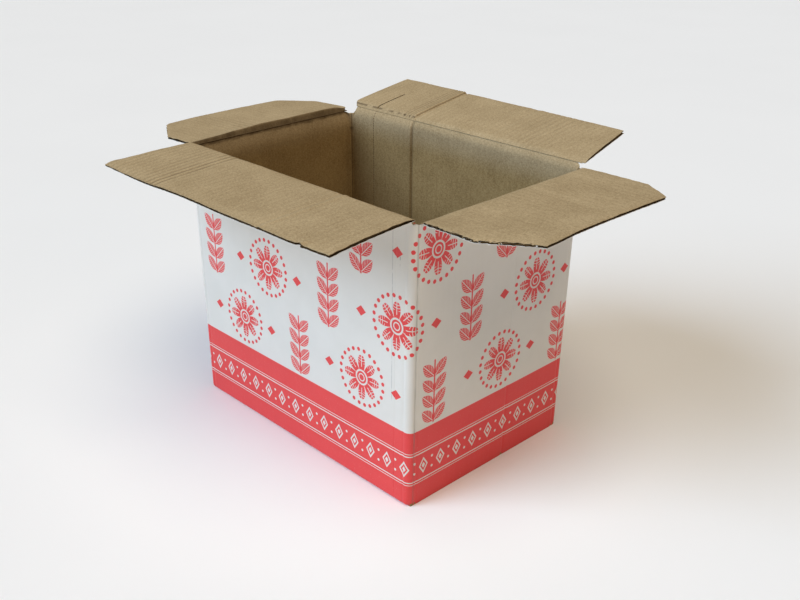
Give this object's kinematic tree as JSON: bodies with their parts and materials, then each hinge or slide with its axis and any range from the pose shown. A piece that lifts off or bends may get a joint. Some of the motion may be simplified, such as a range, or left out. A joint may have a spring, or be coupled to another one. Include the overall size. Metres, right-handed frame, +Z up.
{
  "type": "corrugated shipping box",
  "caption": "Open single wall corrugated box with printed walls, a folded bottom and hinged top flaps that swing from fully closed to folded down outside.",
  "frame": {"origin": "on the floor, in the middle of the walls' footprint", "axes": "+X along the long walls, +Y from the front wall to the back wall, +Z up"},
  "size_m": [0.472, 0.3592, 0.2706],
  "materials": {
    "printed_board": "matte",
    "kraft_board": "matte"
  },
  "bodies": {
    "body": {"box_body": "printed_board"},
    "front": {"front_flap": "kraft_board"},
    "back": {"back_flap": "kraft_board"},
    "right": {"right_flap": "kraft_board"},
    "left": {"left_flap": "kraft_board"}
  },
  "joints": [
    {"name": "front_crease", "type": "hinge", "parent": "body", "child": "front", "pos_m": [0, -0.1005, 0.2552], "axis": [-1, 0, 0], "range_deg": [-81.5, 183.5]},
    {"name": "back_crease", "type": "hinge", "parent": "body", "child": "back", "pos_m": [0, 0.1005, 0.2552], "axis": [1, 0, 0], "range_deg": [-93.5, 171.5]},
    {"name": "right_crease", "type": "hinge", "parent": "body", "child": "right", "pos_m": [0.145, 0, 0.2505], "axis": [0, -1, 0], "range_deg": [-85, 180]},
    {"name": "left_crease", "type": "hinge", "parent": "body", "child": "left", "pos_m": [-0.145, 0, 0.2505], "axis": [0, 1, 0], "range_deg": [-82.5, 182.5]}
  ]
}
